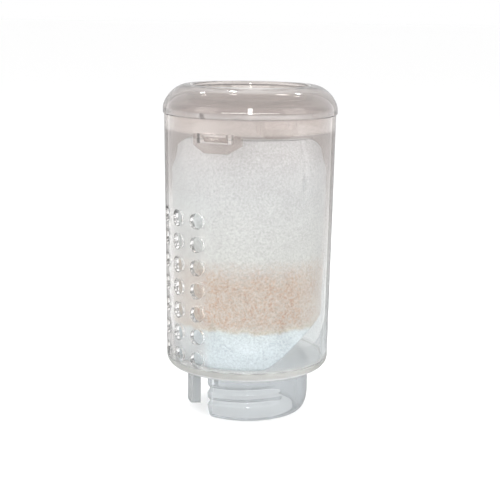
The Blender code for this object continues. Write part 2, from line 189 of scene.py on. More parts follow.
# The bag: its fit in the cup, its crown and seam, its foot, and the fold at its lower right
BAG_CLEARANCE = 0.0005
BAG_RADIUS = BASE_RADIUS - CUP_WALL - BAG_CLEARANCE
BAG_BASE_Z = BAG_LOW.z
BAG_TOP_Z = 0.1054
BAG_HEIGHT = BAG_TOP_Z - BAG_BASE_Z
BAG_SEAM_THICKNESS = 0.0016
BAG_CROWN_HEIGHT = 0.0260
BAG_TOP_SETBACK = 0.0022
BAG_SETBACK_HEIGHT = 0.0080
BAG_CORNER_DROP = 0.0065
BAG_CORNER_WIDTH = 0.0080
BAG_FOOT_HEIGHT = 0.0070
BAG_FOOT_INSET = 0.0030
BAG_FOLD_HEIGHT = 0.0190
BAG_FOLD_DEPTH = 0.0210
BAG_FOLD_BLEND = 0.0008
BAG_LEVELS = 200
BAG_SIDES = 320

# Creases in the fleece: two places on its surface as bearing and height, then width and depth.
# Each loses a share of its depth on the way to its second place
CREASES = (
    ((42.5, 0.1060), (42.5, 0.0900), 0.0007, 0.0005),
    ((42.5, 0.0910), (42.5, 0.0860), 0.0006, 0.0018),
    ((74.0, 0.0850), (50.0, 0.0815), 0.0008, 0.0010),
    ((80.0, 0.1000), (56.0, 0.1015), 0.0030, 0.0006),
    ((-48.0, 0.1030), (-36.0, 0.0900), 0.0040, 0.0003),
    ((30.0, 0.0370), (70.0, 0.0480), 0.0050, 0.0006),
)
CREASE_FADE = 0.5

# Soft dents in the fleece: long swells and shorter puckers, which start just above the foot
SWELL_SIZE = 0.0160
SWELL_DEPTH = 0.00045
PUCKER_SIZE = 0.0045
PUCKER_DEPTH = 0.00016
PUCKER_SHIFT = (7.0, 3.0, 1.0)
DENT_START = 0.0040

# Noise patterns: the size of a spot in metres, its detail, its roughness and where it starts
FLOW_NOISE = (0.0120, 1.0, 0.4, 0.0)
SWAY_NOISE = (0.0060, 4.0, 0.6, 0.0)
BEAD_NOISE = (0.0009, 3.0, 0.6, 5.0)
HEAP_NOISE = (0.0045, 2.0, 0.5, 9.0)
FIBRE_NOISE = (0.0007, 4.0, 0.7, 0.0)
CLOUD_NOISE = (0.0080, 2.0, 0.5, 3.0)

# Clear styrene: faint waves of the mould's flow, a gloss coat, and what a wall leaves of a lamp's
# light. A lower IOR than the 1.59 of solid styrene keeps the thin walls from bending too hard
STYRENE_IOR = 1.45
FLOW_STRENGTH = 0.10
FLOW_DEPTH = 0.0008
COAT_ROUGHNESS = 0.03
CUP_COAT = 0.5
LID_COAT = 1.0
LAMPLIGHT_LEFT = "#fafafa"

# The grey cast of the cup's outer skin, from the neck's end up, and how soft the skin's limits are. Its
# changes with height are painted reflection and shade: warmer and darker towards the top, cool at the
# neck
CUP_CAST_WITH_PAINTED_REFLECTION = (
    (0.0000, "#b0b5b8"),
    (0.0173, "#b0b5b8"),
    (0.0180, "#cdcdc8"),
    (0.0210, "#cdcdc8"),
    (0.0230, "#cacfd1"),
    (0.0350, "#bbbfbf"),
    (0.0700, "#b4b2af"),
    (0.0930, "#a8a29f"),
    (0.1000, "#9d9591"),
    (0.1074, "#9d9591"),
    (0.1078, "#d8d1cd"),
    (TOP_Z, "#d8d1cd"),
)
SKIN_BLEND = 0.0004
NECK_SKIN_INSET = 0.0003
BASE_BLEND = 0.0002

# How clear and how rough the cup is by height, as greys: the floor's edge is hazy
CUP_CLEARNESS = (
    (0.0000, "#eaeaea"),
    (0.0170, "#eaeaea"),
    (0.0178, "#d8d8d8"),
    (0.0205, "#d8d8d8"),
    (0.0225, "#f8f8f8"),
    (TOP_Z, "#f8f8f8"),
)
CUP_ROUGHNESS = (
    (0.0000, "#404040"),
    (0.0170, "#404040"),
    (0.0178, "#a4a4a4"),
    (0.0205, "#a4a4a4"),
    (0.0225, "#303030"),
    (TOP_Z, "#303030"),
)

# The tongue is matt and even. It lies below the base and further left than this
TONGUE_SIDE_X = -0.0178
TONGUE_CAST = "#b8bbbc"
TONGUE_CLEARNESS = "#bcbcbc"
TONGUE_ROUGHNESS = "#858585"

# Round the inlet holes the wall has less cast, and the fleece behind it is greyer
INLET_SIDE_X = -0.0150
INLET_SIDE_BLEND = 0.0020
INLET_TOP_Z = 0.0830
INLET_TOP_BLEND = 0.0040
INLET_FOOT_BLEND = 0.0020
INLET_CAST = "#d8d6d4"
INLET_ROUGHNESS = "#5a5a5a"
INLET_SIDE_FLEECE = "#d3d2d1"
INLET_SIDE_RESIN = "#c6c6c4"
INLET_SIDE_RESIN_SHARE = 0.4

# The lid: warm grey in its shoulder, paler in its recess and in the plug below the rim
LID_CAST = "#bfb8b5"
LID_INNER_CAST = "#d6d0cc"
PLUG_CAST = "#ddd6d2"
PLUG_BLEND = 0.0006
LID_CLEARNESS = 0.88
LID_ROUGHNESS = 0.03

# The fleece and the resin in it, from the bag's foot up
FLEECE_COLOURS = (
    (0.0212, "#e9f1f5"),
    (0.0350, "#e9f1f5"),
    (0.0363, "#e0d7c6"),
    (0.0380, "#ddd0c1"),
    (0.0540, "#ddd0c1"),
    (0.0620, "#e5e7e5"),
    (0.0850, "#ebf1f3"),
    (0.0980, "#f6fcff"),
    (BAG_TOP_Z, "#f6fcff"),
)
RESIN_SHARE = (
    (0.0212, "#000000"),
    (0.0355, "#000000"),
    (0.0385, "#ffffff"),
    (0.0540, "#ffffff"),
    (0.0630, "#000000"),
    (BAG_TOP_Z, "#000000"),
)

# The resin's limits sway up and down, beads show in heaps, and it turns paler towards the bag's sides
RESIN_SWAY = 0.0010
SWAY_RANGE = (0.25, 0.75)
BEAD_COLOUR = "#d09d7c"
BEAD_RANGE = (0.42, 0.62)
HEAP_RANGE = (0.35, 0.65)
LEAST_HEAP = 0.4
RESIN_SIDE_PALING = 0.6
SIDE_PALING_RANGE = (0.0180, 0.0285)
PALE_SIDE_RESIN_COLOUR = "#e4e4e0"

# The fleece's fibres and soft clouds
FLEECE_ROUGHNESS = 0.95
FLEECE_SHINE = 0.15
FIBRE_STRENGTH = 0.5
FIBRE_DEPTH = 0.0003
FIBRE_SHADE = "#c8c8c8"
CLOUD_SHADE = "#f6f6f6"
MOTTLE_RANGE = (0.3, 0.7)

# The camera, fitted to the photograph's outline
PHOTO_WIDTH = 500
CAMERA_TARGET_Z = 0.0639
CAMERA_DISTANCE = 0.4500
CAMERA_ELEVATION = 10.9
CAMERA_ROLL = 0.77
FOCAL_PIXELS = 1183.0
TARGET_PIXEL = (248.46, 242.6)
SENSOR_WIDTH = 36.0

# The background: how much light the world sheds on the object, and a floor that reaches far back
WORLD_LIGHT = 1.0
FLOOR_SIZE = 48.0
FLOOR_DROP = 0.0002
FLOOR_PAINT = "#fefefe"
FLOOR_ROUGHNESS = 0.9
FLOOR_SHINE = 0.1

# Grey cards: two stand behind the object, one on each side, and one lies under it
CARD_BEARINGS = (-148.0, 148.0)
CARD_DISTANCE = 0.0900
CARD_WIDTH = 0.0780
CARD_HEIGHT = 0.3000
LOW_CARD_WIDTH = 0.2400
CARD_PAPER = "#a2a2a2"

# Lamps: name, place, target, width, height, watts, and whether the plastic mirrors it
LAMPS = (
    ("left_softbox", (-0.90, -0.45, 0.40), (0.0, 0.0, 0.06), 0.60, 0.60, 4.3, False),
    ("right_softbox", (0.90, -0.45, 0.40), (0.0, 0.0, 0.06), 0.60, 0.60, 4.3, False),
    ("front_strip", (0.0, -0.50, 0.29), (0.0, 0.0, 0.10), 0.05, 0.36, 0.55, True),
    ("front_bar", (0.0, -0.60, 0.24), (0.0, 0.0, 0.06), 0.90, 0.05, 0.9, True),
    ("left_spark", (-0.22, 0.22, 0.50), (0.0, 0.0, 0.12), 0.03, 0.03, 0.08, True),
    ("right_spark", (0.22, 0.22, 0.50), (0.0, 0.0, 0.12), 0.03, 0.03, 0.08, True),
    ("back_left_spark", (-0.087, 0.26, 0.64), (0.0, 0.0, 0.12), 0.03, 0.06, 0.15, True),
    ("back_right_spark", (0.156, 0.295, 0.604), (0.0, 0.0, 0.12), 0.05, 0.05, 0.2, True),
)


# Camera, lights and background


def add_camera():
    """A camera at the photograph's viewing angle. The object leans right a little, as there."""
    camera = bpy.data.cameras.new("camera")
    camera.sensor_width = SENSOR_WIDTH
    camera.lens = FOCAL_PIXELS / PHOTO_WIDTH * SENSOR_WIDTH
    camera.shift_x = (PHOTO_WIDTH / 2 - TARGET_PIXEL[0]) / PHOTO_WIDTH
    camera.shift_y = (TARGET_PIXEL[1] - PHOTO_WIDTH / 2) / PHOTO_WIDTH
    camera.clip_start = 0.01
    holder = bpy.data.objects.new("camera", camera)
    bpy.context.scene.collection.objects.link(holder)
    tilt = math.radians(CAMERA_ELEVATION)
    target = Vector((0.0, 0.0, CAMERA_TARGET_Z))
    holder.location = target + CAMERA_DISTANCE * Vector((0.0, -math.cos(tilt), math.sin(tilt)))
    aim = Euler((math.radians(90.0) - tilt, 0.0, 0.0)).to_matrix().to_4x4()
    roll = Matrix.Rotation(math.radians(CAMERA_ROLL), 4, "Z")
    holder.rotation_euler = (aim @ roll).to_euler()
    bpy.context.scene.camera = holder


def add_softbox(name, place, target, width, height, power, mirrored=True):
    """A lamp with an even face. The plastic shows its mirror image only where mirrored is set."""
    lamp = bpy.data.lights.new(name, "AREA")
    lamp.shape = "RECTANGLE"
    lamp.size = width
    lamp.size_y = height
    lamp.energy = power
    holder = bpy.data.objects.new(name, lamp)
    bpy.context.scene.collection.objects.link(holder)
    holder.location = place
    aim = Vector(target) - Vector(place)
    holder.rotation_euler = aim.to_track_quat("-Z", "Y").to_euler()
    holder.visible_glossy = mirrored


def linear(hex_colour):
    """An sRGB hex colour as linear red, green, blue and alpha."""
    shares = [int(hex_colour[i : i + 2], 16) / 255.0 for i in (1, 3, 5)]
    curve = [s / 12.92 if s <= 0.04045 else ((s + 0.055) / 1.055) ** 2.4 for s in shares]
    return (*curve, 1.0)


def node(tree, kind, settings=None, values=None, links=None):
    """Adds one node, with its settings, its sockets' values and the outputs that feed it."""
    made = tree.nodes.new(kind)
    for name, value in (settings or {}).items():
        setattr(made, name, value)
    for socket, value in (values or {}).items():
        made.inputs[socket].default_value = value
    for socket, source in (links or {}).items():
        tree.links.new(source, made.inputs[socket])
    return made


def seen_ray(tree):
    """1 for rays that come from the camera, a mirror or a pane, and 0 for light on the object."""
    path = node(tree, "ShaderNodeLightPath").outputs
    direct = maths(tree, "MAXIMUM", path["Is Camera Ray"], path["Is Glossy Ray"])
    return maths(tree, "MAXIMUM", direct, path["Is Transmission Ray"])


def light_world():
    """White where it is seen. What it sheds on the object is set by itself."""
    world = bpy.data.worlds.new("studio")
    world.use_nodes = True
    tree = world.node_tree
    tree.nodes.clear()
    strength = node(
        tree,
        "ShaderNodeMapRange",
        values={"To Min": WORLD_LIGHT, "To Max": 1.0},
        links={"Value": seen_ray(tree)},
    )
    shade = node(
        tree,
        "ShaderNodeBackground",
        values={"Color": linear("#ffffff")},
        links={"Strength": strength.outputs["Result"]},
    )
    node(tree, "ShaderNodeOutputWorld", links={"Surface": shade.outputs[0]})
    bpy.context.scene.world = world


def add_floor():
    """A plain pale floor, just under the neck."""
    deselect()
    bpy.ops.mesh.primitive_plane_add(size=FLOOR_SIZE, location=(0.0, 0.0, -FLOOR_DROP))
    floor = bpy.context.object
    floor.name = "floor"
    floor.data.materials.append(plain_paint("pale_floor", FLOOR_PAINT, FLOOR_ROUGHNESS, FLOOR_SHINE))


def plain_paint(name, colour, roughness, shine):
    """A material that is the same all over."""
    paint = bpy.data.materials.new(name)
    paint.use_nodes = True
    shader = paint.node_tree.nodes["Principled BSDF"]
    shader.inputs["Base Color"].default_value = linear(colour)
    shader.inputs["Roughness"].default_value = roughness
    shader.inputs["Specular IOR Level"].default_value = shine
    return paint


def add_cards():
    """Two grey cards that stand behind the object, and one that lies between it and the floor."""
    for side, bearing in enumerate(CARD_BEARINGS):
        turn = math.radians(bearing)
        place = (CARD_DISTANCE * math.sin(turn), -CARD_DISTANCE * math.cos(turn), CARD_HEIGHT / 2)
        upright = (math.radians(90.0), 0.0, turn)
        add_card(f"grey_card_{side + 1}", place, upright, (CARD_WIDTH, CARD_WIDTH, CARD_HEIGHT))
    under = (0.0, 0.0, -FLOOR_DROP / 2)
    add_card("grey_card_3", under, (0.0, 0.0, 0.0), (LOW_CARD_WIDTH, LOW_CARD_WIDTH, 1.0))


def add_card(name, place, rotation, scale):
    """A grey card that shows in mirror images only: it darkens the outlines of clear plastic."""
    deselect()
    bpy.ops.mesh.primitive_plane_add(size=1.0, location=place, rotation=rotation)
    card = bpy.context.object
    card.name = name
    bpy.ops.transform.resize(value=scale, center_override=place)
    card.data.materials.append(plain_paint(name, CARD_PAPER, 1.0, 0.0))
    card.visible_camera = False
    card.visible_diffuse = False
    card.visible_transmission = False
    card.visible_shadow = False


# Tools for modelling


def deselect():
    """Leaves edit mode, with nothing selected."""
    if bpy.context.object and bpy.context.object.mode != "OBJECT":
        bpy.ops.object.mode_set(mode="OBJECT")
    bpy.ops.object.select_all(action="DESELECT")


def pick(*things):
    """Selects these things only, and makes the first one active."""
    deselect()
    for thing in things:
        thing.select_set(True)
    bpy.context.view_layer.objects.active = things[0]


def arc(centre_radius, centre_z, radius, start, end, pieces):
    """Points of an arc in the profile's plane, from one angle to another in degrees."""
    points = []
    for i in range(pieces + 1):
        angle = math.radians(start + (end - start) * i / pieces)
        points.append((centre_radius + radius * math.cos(angle), centre_z + radius * math.sin(angle)))
    return points


def rounded(centre_radius, centre_z, width, height, fullness, pieces):
    """Points of a quarter round whose width and height differ, from its top to its side.

    A fullness of 2 is an ellipse, and less is flatter. A negative height turns it over.
    """
    points = []
    for i in range(pieces + 1):
        angle = math.radians(90.0 - 90.0 * i / pieces)
        across = max(0.0, math.cos(angle)) ** (2.0 / fullness)
        up = math.sin(angle) ** (2.0 / fullness)
        points.append((centre_radius + width * across, centre_z + height * up))
    return points


def line(start, end, pieces=1):
    """Points along a straight stretch of a profile, without its first point."""
    return [
        (start[0] + (end[0] - start[0]) * i / pieces, start[1] + (end[1] - start[1]) * i / pieces)
        for i in range(1, pieces + 1)
    ]


def spun(name, profile, closed=False):
    """Draws a profile point by point at +X, then spins it about Z into a closed turned form."""
    deselect()
    bpy.ops.mesh.primitive_plane_add(size=SEED_SIZE, location=(0.0, 0.0, 0.0))
    thing = bpy.context.object
    thing.name = name
    thing.data.name = name
    bpy.ops.object.mode_set(mode="EDIT")
    bpy.ops.mesh.select_all(action="SELECT")
    bpy.ops.mesh.merge(type="CENTER")
    bpy.ops.transform.translate(value=(profile[0][0], 0.0, profile[0][1]))
    route = list(profile) + ([profile[0]] if closed else [])
    for (radius, height), (next_radius, next_height) in zip(route, route[1:]):
        step = (next_radius - radius, 0.0, next_height - height)
        bpy.ops.mesh.extrude_vertices_move(TRANSFORM_OT_translate={"value": step})
    bpy.ops.mesh.select_all(action="SELECT")
    bpy.ops.mesh.spin(steps=SPIN_STEPS, angle=2 * math.pi, center=(0.0, 0.0, 0.0), axis=(0.0, 0.0, 1.0))
    bpy.ops.mesh.select_all(action="SELECT")
    bpy.ops.mesh.remove_doubles(threshold=MERGE_DISTANCE)
    bpy.ops.mesh.normals_make_consistent(inside=False)
    bpy.ops.object.mode_set(mode="OBJECT")
    return thing


def block(name, outline, sweep):
    """A flat outline swept along a vector, as a closed block. It starts as a polygon primitive."""
    deselect()
    bpy.ops.mesh.primitive_circle_add(vertices=len(outline), fill_type="NGON", radius=SEED_SIZE)
    thing = bpy.context.object
    thing.name = name
    for point, place in zip(thing.data.vertices, outline):
        point.co = place
    bpy.ops.object.mode_set(mode="EDIT")
    bpy.ops.mesh.select_all(action="SELECT")
    bpy.ops.mesh.extrude_region_move(TRANSFORM_OT_translate={"value": sweep})
    bpy.ops.mesh.select_all(action="SELECT")
    bpy.ops.mesh.normals_make_consistent(inside=False)
    bpy.ops.object.mode_set(mode="OBJECT")
    return thing


def copies(master, places):
    """One joined object with a copy of the master at each matrix. The master is used up."""
    made = []
    for matrix in places:
        twin = master.copy()
        twin.data = master.data.copy()
        bpy.context.scene.collection.objects.link(twin)
        twin.matrix_world = matrix @ master.matrix_world
        made.append(twin)
    bpy.data.objects.remove(master, do_unlink=True)
    pick(*made)
    bpy.ops.object.join()
    joined = bpy.context.object
    bpy.ops.object.transform_apply(location=True, rotation=True, scale=True)
    return joined


def turned_to(bearing):
    """What turns a form that is made at the front to a bearing."""
    return Matrix.Rotation(math.radians(bearing), 4, "Z")


def combine(target, tool, operation="DIFFERENCE"):
    """Cuts or joins with another form, which is used up."""
    pick(target)
    step = target.modifiers.new("combine", "BOOLEAN")
    step.object = tool
    step.operation = operation
    step.solver = "EXACT"
    bpy.ops.object.modifier_apply(modifier=step.name)
    bpy.data.objects.remove(tool, do_unlink=True)


def finish_piece(piece, angle):
    """Smooth shading between the sharp edges, with the large faces setting the normals."""
    pick(piece)
    bpy.ops.object.shade_smooth_by_angle(angle=math.radians(angle))
    weigh = piece.modifiers.new("weigh", "WEIGHTED_NORMAL")
    weigh.keep_sharp = True
    bpy.ops.object.modifier_apply(modifier=weigh.name)


# The cup


def wall_radius(height):
    """The outer radius of the cup's wall at a height."""
    return CUP_RADIUS - (RIM_Z - height) * CUP_SLOPE


def cup_profile():
    """From the middle of the floor up the inside, over the rim, down the outside and round the neck."""
    inner_base = (BASE_RADIUS - CUP_WALL, FLOOR_Z + FLOOR_FILLET)
    inner_top = (CUP_RADIUS - CUP_WALL, RIM_Z)
    points = [(0.0, FLOOR_Z)]
    points += line(points[-1], (inner_base[0] - FLOOR_FILLET, FLOOR_Z), FLOOR_STEPS)
    points += arc(inner_base[0] - FLOOR_FILLET, inner_base[1], FLOOR_FILLET, -90.0, 0.0, SMALL_ARC)[1:]
    points += line(points[-1], inner_top, WALL_STEPS)
    points += line(points[-1], (CUP_RADIUS, RIM_Z))
    outer_base = (BASE_RADIUS, BASE_Z + BASE_CORNER)
    points += line(points[-1], outer_base, WALL_STEPS)
    points += arc(outer_base[0] - BASE_CORNER, outer_base[1], BASE_CORNER, 0.0, -90.0, MEDIUM_ARC)[1:]
    points += line(points[-1], (NECK_RADIUS, BASE_Z), LEDGE_STEPS)
    points += line(points[-1], (NECK_RADIUS, NECK_EDGE_HEIGHT), NECK_STEPS)
    edge_centre = NECK_RADIUS - NECK_EDGE_WIDTH
    edge = rounded(edge_centre, NECK_EDGE_HEIGHT, NECK_EDGE_WIDTH, -NECK_EDGE_HEIGHT, 2.0, LARGE_ARC)
    points += list(reversed(edge))[1:]
    points += line(points[-1], (BORE_RADIUS, 0.0))
    points += line(points[-1], (BORE_RADIUS, BASE_Z), PLAIN_STEPS)
    points += line(points[-1], (0.0, BASE_Z), PLAIN_STEPS)
    return points


def smooth_step(value):
    """Eases a share from 0 to 1, and cuts off what is outside."""
    value = np.clip(value, 0.0, 1.0)
    return value * value * (3.0 - 2.0 * value)


def shape_neck(cup):
    """Sinks the thread's round grooves into the neck, and sets the tongue's side back.

    The groove is a right-hand helix that runs out before the smooth right side, front and back.
    """
    count = len(cup.data.vertices)
    points = np.zeros(count * 3)
    cup.data.vertices.foreach_get("co", points)
    points = points.reshape(-1, 3)
    radius = np.hypot(points[:, 0], points[:, 1])
    bearing = np.degrees(np.arctan2(points[:, 0], -points[:, 1]))
    height = points[:, 2]
    outer = (height < BASE_Z - HEIGHT_MARGIN) & (radius > BORE_RADIUS + RADIUS_MARGIN)
    from_right = np.abs((bearing - GAP_BEARING) % 360.0 - 180.0)
    run_out = (from_right - (90.0 - THREAD_FULL_BEARING - THREAD_RUN_OUT)) / THREAD_RUN_OUT
    along = np.where(np.abs(bearing) < 90.0, bearing, bearing % 360.0) / 360.0
    turn = np.round((height - THREAD_FIRST_GROOVE) / THREAD_PITCH - along)
    centre = THREAD_FIRST_GROOVE + THREAD_PITCH * (turn + along)
    whole = (centre > NECK_EDGE_HEIGHT / 2) & (centre < BASE_Z - THREAD_DEPTH)
    off_centre = np.abs(height - centre) / THREAD_MOUTH
    lobe = np.cos(np.clip(off_centre, 0.0, 0.5) * math.pi) ** 2
    depth = THREAD_DEPTH * lobe * smooth_step(run_out) * whole
    from_tongue = np.abs((bearing - TONGUE_BEARING + 180.0) % 360.0 - 180.0)
    sunk = np.where(from_tongue < SLOT_MIDDLE_ANGLE, TONGUE_INSET, depth)
    sunk = np.maximum(sunk - np.clip(NECK_RADIUS - radius, 0.0, None), 0.0)
    scale = np.where(outer, (radius - sunk) / np.maximum(radius, NEAR_ZERO), 1.0)
    points[:, 0] *= scale
    points[:, 1] *= scale
    cup.data.vertices.foreach_set("co", points.ravel())
    cup.data.update()


def rod_at_front(name, radius, inner, outer, flare):
    """A round cutter along the view axis at the front, with a flared outer mouth."""
    deselect()
    middle = -(inner + outer) / 2
    turn = (math.radians(90.0), math.pi / HOLE_SIDES * HOLE_TWIST, 0.0)
    bpy.ops.mesh.primitive_cylinder_add(
        vertices=HOLE_SIDES,
        radius=radius,
        depth=outer - inner,
        location=(0.0, middle, 0.0),
        rotation=turn,
    )
    rod = bpy.context.object
    rod.name = name
    bpy.ops.object.transform_apply(location=True, rotation=True, scale=True)
    bpy.ops.object.mode_set(mode="EDIT")
    bpy.ops.mesh.select_all(action="DESELECT")
    bpy.ops.object.mode_set(mode="OBJECT")
    for face in rod.data.polygons:
        face.select = face.normal.y < -0.9
    bpy.ops.object.mode_set(mode="EDIT")
    wider = (radius + flare) / radius
    bpy.ops.mesh.extrude_region_move(TRANSFORM_OT_translate={"value": (0.0, -flare, 0.0)})
    bpy.ops.transform.resize(value=(wider, 1.0, wider), center_override=(0.0, -outer - flare, 0.0))
    bpy.ops.mesh.extrude_region_move(TRANSFORM_OT_translate={"value": (0.0, -PAST, 0.0)})
    bpy.ops.object.mode_set(mode="OBJECT")
    return rod


def inlet_cutter():
    """Columns of round holes on the left side, from just above the floor."""
    lowest = FLOOR_Z + FLOOR_FILLET + HOLE_FLOOR_CLEARANCE + HOLE_RADIUS
    inner = wall_radius(FLOOR_Z) - CUP_WALL - PAST
    mouth = wall_radius(lowest) - HOLE_CHAMFER
    master = rod_at_front("inlets", HOLE_RADIUS, inner, mouth, HOLE_CHAMFER)
    places = []
    for column in range(HOLE_COLUMNS):
        bearing = HOLE_BEARING + HOLE_COLUMN_STEP * (column - (HOLE_COLUMNS - 1) / 2)
        for row in range(HOLE_ROWS):
            height = lowest + HOLE_ROW_PITCH * row
            out = wall_radius(height) - wall_radius(lowest)
            places.append(turned_to(bearing) @ Matrix.Translation((0.0, -out, height)))
    return copies(master, places)


def outlet_cutter():
    """The strainer's holes: one in the middle of the floor, and rings about it."""
    deselect()
    bpy.ops.mesh.primitive_cylinder_add(
        vertices=HOLE_SIDES,
        radius=OUTLET_RADIUS,
        depth=FLOOR_THICKNESS + PAST,
        location=(0.0, 0.0, 0.0),
        rotation=(0.0, 0.0, math.pi / HOLE_SIDES),
    )
    master = bpy.context.object
    middle = (BASE_Z + FLOOR_Z) / 2
    places = [Matrix.Translation((0.0, 0.0, middle))]
    for ring in range(1, OUTLET_RINGS + 1):
        count = OUTLETS_PER_RING * ring
        for i in range(count):
            seat = Matrix.Translation((0.0, -OUTLET_RING_PITCH * ring, middle))
            places.append(turned_to(360.0 * i / count) @ seat)
    return copies(master, places)


def slot_cutter(start, end):
    """An open part of the neck's gap, between two bearings, up to the underside of the base."""
    outline = []
    for radius, bearing in (
        (BORE_RADIUS - PAST, start),
        (NECK_RADIUS + PAST, start),
        (NECK_RADIUS + PAST, end),
        (BORE_RADIUS - PAST, end),
    ):
        angle = math.radians(bearing - 90.0)
        outline.append((radius * math.cos(angle), radius * math.sin(angle), -PAST))
    return block("slot", outline, (0.0, 0.0, BASE_Z + SLOT_BITE + PAST))


def tongue_cutter():
    """What the tongue lacks at its lower end, with the corners rounded at the slots."""
    reach = math.sin(math.radians(SLOT_MIDDLE_ANGLE)) * NECK_RADIUS
    side = math.sin(math.radians(TONGUE_ANGLE / 2)) * TONGUE_RADIUS
    near = math.cos(math.radians(GAP_ANGLE / 2)) * BORE_RADIUS
    high = TONGUE_SETBACK + TONGUE_CORNER
    flat = [(reach, -PAST), (reach, high)]
    flat += arc(side - TONGUE_CORNER, high, TONGUE_CORNER, 0.0, -90.0, MEDIUM_ARC)
    mirrored = [(-across, height) for across, height in reversed(flat)]
    outline = [(across, -near, height) for across, height in flat + mirrored]
    tool = block("tongue_end", outline, (0.0, near - NECK_RADIUS - PAST, 0.0))
    return copies(tool, [turned_to(TONGUE_BEARING)])


def window_cutter():
    """The rectangular windows under the rim, which the lid's noses sit in."""
    inner = CUP_RADIUS - CUP_WALL - PAST
    half = WINDOW_WIDTH / 2
    low = WINDOW_END_Z
    high = WINDOW_TOP_Z
    outline = [(-half, -inner, low), (half, -inner, low), (half, -inner, high), (-half, -inner, high)]
    master = block("windows", outline, (0.0, -CUP_WALL - 2 * PAST, 0.0))
    return copies(master, [turned_to(bearing) for bearing in LATCH_BEARINGS])


def make_cup():
    """The cup, its holes and windows first, then the thread, and last the gap in the neck."""
    cup = spun("clear_cup", cup_profile())
    combine(cup, inlet_cutter())
    combine(cup, outlet_cutter())
    combine(cup, window_cutter())
    shape_neck(cup)
    front = GAP_BEARING + GAP_ANGLE / 2
    back = GAP_BEARING - GAP_ANGLE / 2
    combine(cup, slot_cutter(TONGUE_BEARING + TONGUE_ANGLE / 2, front))
    combine(cup, slot_cutter(back, TONGUE_BEARING - TONGUE_ANGLE / 2))
    combine(cup, tongue_cutter())
    finish_piece(cup, SHARP_ANGLE)
    return cup


# The lid


def lid_profile():
    """From the middle of the recess over its lip and the shoulder, down the outside and back inside."""
    plug_inner = PLUG_RADIUS - PLUG_WALL
    width = LID_SHOULDER_WIDTH
    height = LID_SHOULDER_HEIGHT
    fullness = LID_SHOULDER_FULLNESS
    points = [(0.0, RECESS_Z - DIMPLE_DEPTH)]
    dimple_base = DIMPLE_RADIUS - 2 * DIMPLE_DEPTH
    points += line(points[-1], (dimple_base, RECESS_Z - DIMPLE_DEPTH), SMALL_ARC)
    points += arc(dimple_base, RECESS_Z, DIMPLE_DEPTH, -90.0, 0.0, SMALL_ARC)[1:]
    recess_base = RECESS_RADIUS - RECESS_DRAFT - RECESS_FILLET
    points += line(points[-1], (recess_base, RECESS_Z), RECESS_STEPS)
    points += arc(recess_base, RECESS_Z + RECESS_FILLET, RECESS_FILLET, -90.0, 0.0, LIP_ARC)[1:]
    points += arc(RECESS_RADIUS + RECESS_LIP, TOP_Z - RECESS_LIP, RECESS_LIP, 180.0, 90.0, LIP_ARC)
    points += line(points[-1], (SHOULDER_CENTRE, TOP_Z), SHORT_STEPS)
    points += rounded(SHOULDER_CENTRE, SHOULDER_Z, width, height, fullness, LARGE_ARC)[1:]
    points += line(points[-1], (LID_RADIUS, LID_SEAT_Z + LID_EDGE), LEDGE_STEPS)
    points += arc(LID_RADIUS - LID_EDGE, LID_SEAT_Z + LID_EDGE, LID_EDGE, 0.0, -90.0, SMALL_ARC)[1:]
    points += line(points[-1], (PLUG_RADIUS, LID_SEAT_Z))
    points += line(points[-1], (PLUG_RADIUS, TAB_END_Z), PLAIN_STEPS)
    points += line(points[-1], (plug_inner, TAB_END_Z))
    points += line(points[-1], (plug_inner, RIM_Z), PLAIN_STEPS)
    inner_width, inner_height = width - LID_WALL, height - LID_WALL
    inside = rounded(SHOULDER_CENTRE, SHOULDER_Z, inner_width, inner_height, fullness, INNER_ARC)
    points += line(points[-1], inside[-1], LEDGE_STEPS)
    points += list(reversed(inside))[1:-1]
    points += line(points[-1], (RECESS_RADIUS + LID_WALL, TOP_Z - LID_WALL))
    recess_wall = RECESS_RADIUS - RECESS_DRAFT + LID_WALL
    points += line(points[-1], (recess_wall, RECESS_Z - LID_WALL), SHORT_STEPS)
    points += line(points[-1], (0.0, RECESS_Z - LID_WALL), PLAIN_STEPS)
    return points


def tab_block(bearing):
    """The outline of one snap tab, with chamfered lower corners, as a block through the skirt."""
    half = WINDOW_WIDTH / 2 + TAB_SIDE_MARGIN
    narrow = half - TAB_CHAMFER_WIDTH
    chamfer_z = TAB_END_Z + TAB_CHAMFER_HEIGHT
    high = PLUG_END_Z + PAST
    low = TAB_END_Z - 2 * PAST
    near = PLUG_RADIUS - PLUG_WALL - 2 * PAST
    flat = [(-half, high), (-half, chamfer_z), (-narrow, TAB_END_Z), (-narrow, low)]
    flat += [(narrow, low), (narrow, TAB_END_Z), (half, chamfer_z), (half, high)]
    outline = [(x, -near, z) for x, z in flat]
    return copies(block("tab", outline, (0.0, -PLUG_WALL - 5 * PAST, 0.0)), [turned_to(bearing)])


def skirt_cutter():
    """What is cut off the plug's skirt below its edge, all round but for the tabs."""
    inner = PLUG_RADIUS - PLUG_WALL - PAST
    outer = PLUG_RADIUS + PAST
    low = TAB_END_Z - PAST
    section = [(outer, PLUG_END_Z), (outer, low), (inner, low), (inner, PLUG_END_Z)]
    ring = spun("skirt_ring", section, closed=True)
    for bearing in LATCH_BEARINGS:
        combine(ring, tab_block(bearing))
    return ring


def nose_block():
    """The noses on the tabs: a flat catch on top and a ramp below."""
    root = PLUG_RADIUS - NOSE_ROOT
    tip = CUP_RADIUS - NOSE_INSET
    top = WINDOW_TOP_Z - FIT_GAP
    end = WINDOW_END_Z + FIT_GAP
    half = WINDOW_WIDTH / 2 - NOSE_SIDE_CLEARANCE
    flat = [(root, top), (tip, top), (tip, top - NOSE_LAND), (PLUG_RADIUS, end), (root, end)]
    outline = [(-half, -radius, height) for radius, height in flat]
    master = block("noses", outline, (2 * half, 0.0, 0.0))
    return copies(master, [turned_to(bearing) for bearing in LATCH_BEARINGS])


